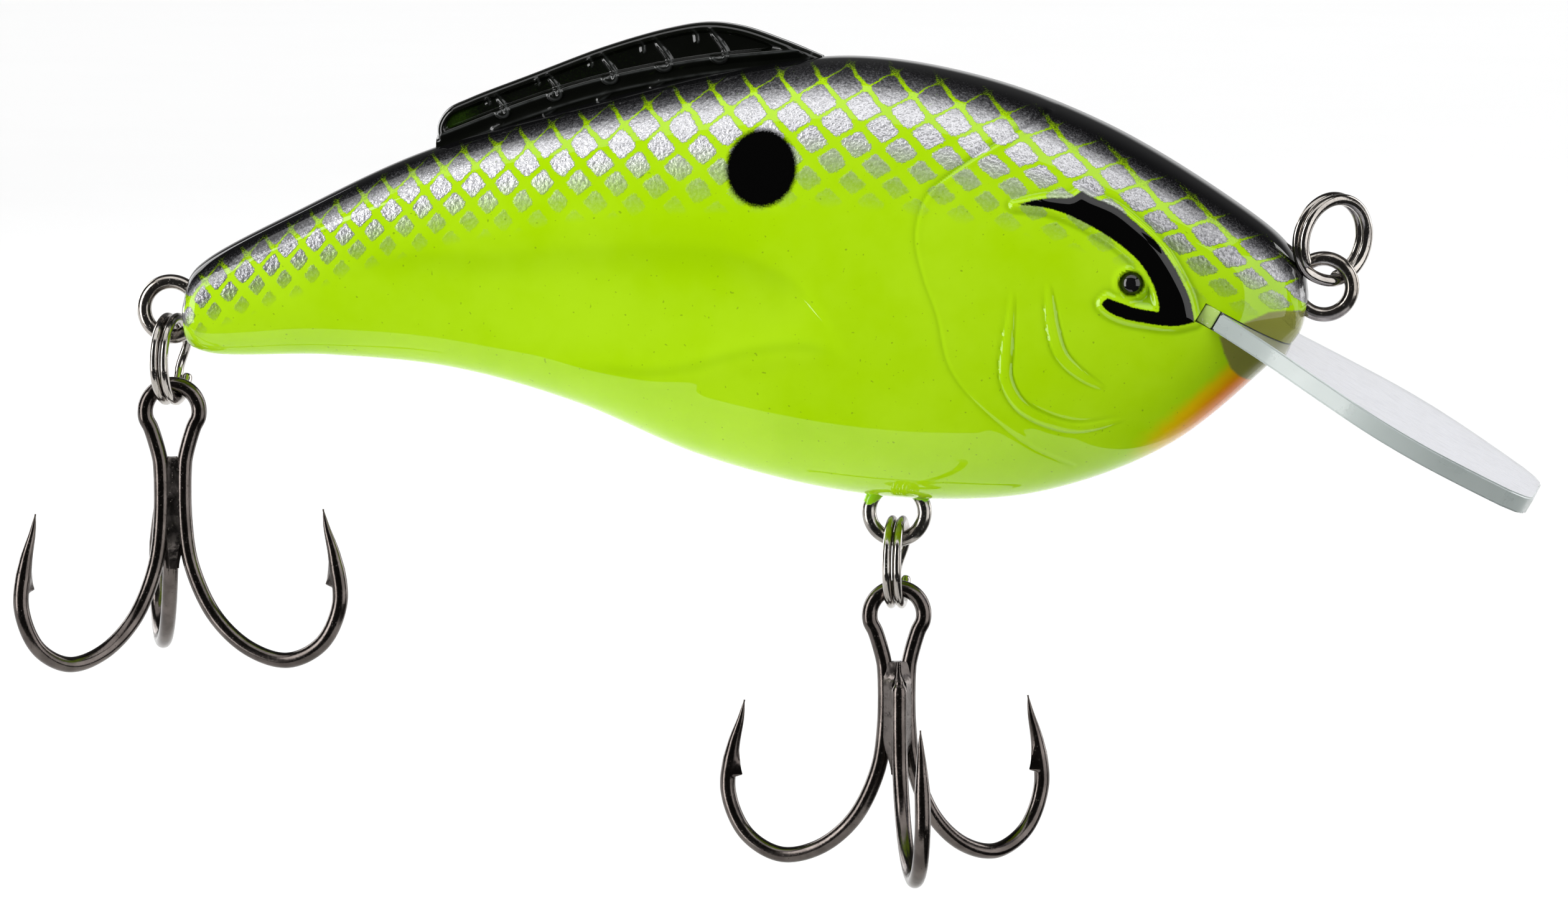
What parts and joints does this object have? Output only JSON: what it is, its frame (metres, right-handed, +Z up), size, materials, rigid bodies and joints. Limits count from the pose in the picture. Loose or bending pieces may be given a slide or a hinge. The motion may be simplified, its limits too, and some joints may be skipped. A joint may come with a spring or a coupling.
{
  "type": "crankbait lure",
  "caption": "Square-lipped crankbait with hollow two-piece body, back fin, diving lip, wire hangers, split rings, treble hooks and rattles.",
  "frame": {"origin": "centre of the line-tie eye at the nose, in the seam plane", "axes": "+X towards the nose, +Z up towards the back fin, starboard flank at -Y"},
  "size_m": [0.1016, 0.0259, 0.0569],
  "materials": {
    "painted_shell": "chartreuse paint with silver scales and black back under gloss clear coat",
    "clear_polycarbonate": "pale translucent moulded plastic",
    "clear_adhesive": "clear cured glue",
    "steel_wire": "bright drawn wire",
    "nickel_ring": "bright nickel",
    "black_nickel": "black nickel",
    "braze": "plated braze metal",
    "black_bead": "high gloss",
    "ballast": "dull",
    "rattle_steel": "polished"
  },
  "bodies": {
    "lure_body": {"shell_starboard": "painted_shell", "shell_port": "painted_shell", "diving_lip": "clear_polycarbonate", "lip_adhesive": "clear_adhesive", "line_tie_hanger": "steel_wire", "belly_hanger": "steel_wire", "tail_hanger": "steel_wire", "eye_starboard": "black_bead", "eye_port": "black_bead", "belly_weight": "ballast"},
    "nose_ring": {"nose_split_ring": "nickel_ring"},
    "belly_ring": {"belly_split_ring": "nickel_ring"},
    "tail_ring": {"tail_split_ring": "nickel_ring"},
    "belly_treble": {"belly_treble_double_hook": "black_nickel", "belly_treble_single_hook": "black_nickel", "belly_treble_braze": "braze"},
    "tail_treble": {"tail_treble_double_hook": "black_nickel", "tail_treble_single_hook": "black_nickel", "tail_treble_braze": "braze"},
    "rattles": {"rattle_ball_1": "rattle_steel", "rattle_ball_2": "rattle_steel", "rattle_ball_3": "rattle_steel"}
  },
  "joints": [
    {"name": "nose_ring_swing", "type": "hinge", "parent": "lure_body", "child": "nose_ring", "pos_m": [0, 0, 0], "axis": [0, 1, 0], "range_deg": [0, 110]},
    {"name": "belly_ring_swing", "type": "hinge", "parent": "lure_body", "child": "belly_ring", "pos_m": [-0.0286, 0, -0.0155], "axis": [0, 1, 0], "range_deg": [-50, 50]},
    {"name": "belly_hook_swing", "type": "hinge", "parent": "belly_ring", "child": "belly_treble", "pos_m": [-0.0286, 0, -0.0189], "axis": [1, 0, 0], "range_deg": [-40, 40]},
    {"name": "tail_ring_swing", "type": "hinge", "parent": "lure_body", "child": "tail_ring", "pos_m": [-0.07815, 0, -0.00245], "axis": [0, 1, 0], "range_deg": [-8, 95]},
    {"name": "tail_hook_swing", "type": "hinge", "parent": "tail_ring", "child": "tail_treble", "pos_m": [-0.07815, 0, -0.00585], "axis": [0.9936, -0.1132, 0], "range_deg": [-50, 50]},
    {"name": "rattle_slide", "type": "slide", "parent": "lure_body", "child": "rattles", "axis": [1, 0, 0], "range_m": [-0.0022, 0.0025]}
  ]
}
